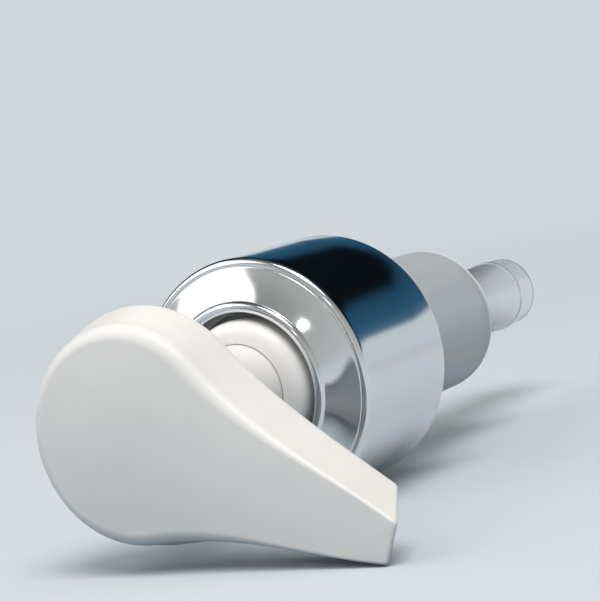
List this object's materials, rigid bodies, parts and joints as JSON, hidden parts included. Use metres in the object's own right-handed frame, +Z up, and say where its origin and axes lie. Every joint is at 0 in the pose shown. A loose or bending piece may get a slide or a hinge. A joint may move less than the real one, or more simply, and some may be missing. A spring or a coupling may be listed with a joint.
{
  "type": "soap dispenser pump",
  "caption": "Soap dispenser pump: white teardrop lever head on a chrome screw collar, clear housing and inlet tube, lying on its side.",
  "frame": {"origin": "on the floor, under the middle of the whole pump's box, as it lies on its collar and its nozzle", "axes": "+Y along the pump's axis from the head to the inlet tube, +Z up from the floor, +X towards the side that the nozzle points to"},
  "size_m": [0.0481, 0.1042, 0.032],
  "materials": {
    "white_moulded_head": "satin white",
    "white_moulded_core": "satin white",
    "white_moulded_lock_ring": "gloss white",
    "white_moulded_closure": "moulded",
    "white_moulded_stem": "moulded",
    "chromed_aluminium": "bright chrome",
    "natural_plastic_housing": "milky translucent",
    "natural_plastic_tube": "translucent",
    "natural_plastic_piston": "moulded",
    "natural_plastic_cage": "moulded",
    "natural_plastic_retainer": "moulded",
    "foam_gasket": "matt foam",
    "soft_wiper_seal": "matt",
    "stainless_spring_wire": "drawn wire",
    "inlet_ball_steel": "polished",
    "outlet_ball_steel": "polished"
  },
  "bodies": {
    "closure": {"collar_shell": "chromed_aluminium", "closure_cap": "white_moulded_closure"},
    "pump_body": {"housing": "natural_plastic_housing", "lock_ring": "white_moulded_lock_ring", "neck_gasket": "foam_gasket", "inlet_tube": "natural_plastic_tube", "ball_cage": "natural_plastic_cage", "stem_wiper": "soft_wiper_seal", "return_spring": "stainless_spring_wire"},
    "plunger": {"stem": "white_moulded_stem", "piston": "natural_plastic_piston", "piston_retainer": "natural_plastic_retainer"},
    "actuator": {"actuator_shell": "white_moulded_head", "actuator_core": "white_moulded_core"},
    "inlet_valve": {"inlet_ball": "inlet_ball_steel"},
    "outlet_valve": {"outlet_ball": "outlet_ball_steel"}
  },
  "joints": [
    {"name": "closure_spin", "type": "hinge", "parent": "closure", "child": "pump_body", "pos_m": [-0.00806, 0, 0.016], "axis": [0, 1, 0], "continuous": true},
    {"name": "head_press", "type": "slide", "parent": "pump_body", "child": "plunger", "axis": [0, 1, 0], "range_m": [0, 0.015], "stiffness_N_per_m": 400, "springref_m": -0.008, "deforming": ["return_spring"]},
    {"name": "head_swivel", "type": "hinge", "parent": "plunger", "child": "actuator", "pos_m": [-0.00806, 0, 0.016], "axis": [0, 1, 0], "continuous": true},
    {"name": "inlet_ball_lift", "type": "slide", "parent": "pump_body", "child": "inlet_valve", "axis": [0, -1, 0], "range_m": [0, 0.0012]},
    {"name": "outlet_ball_lift", "type": "slide", "parent": "plunger", "child": "outlet_valve", "axis": [0, -1, 0], "range_m": [0, 0.0012]}
  ]
}
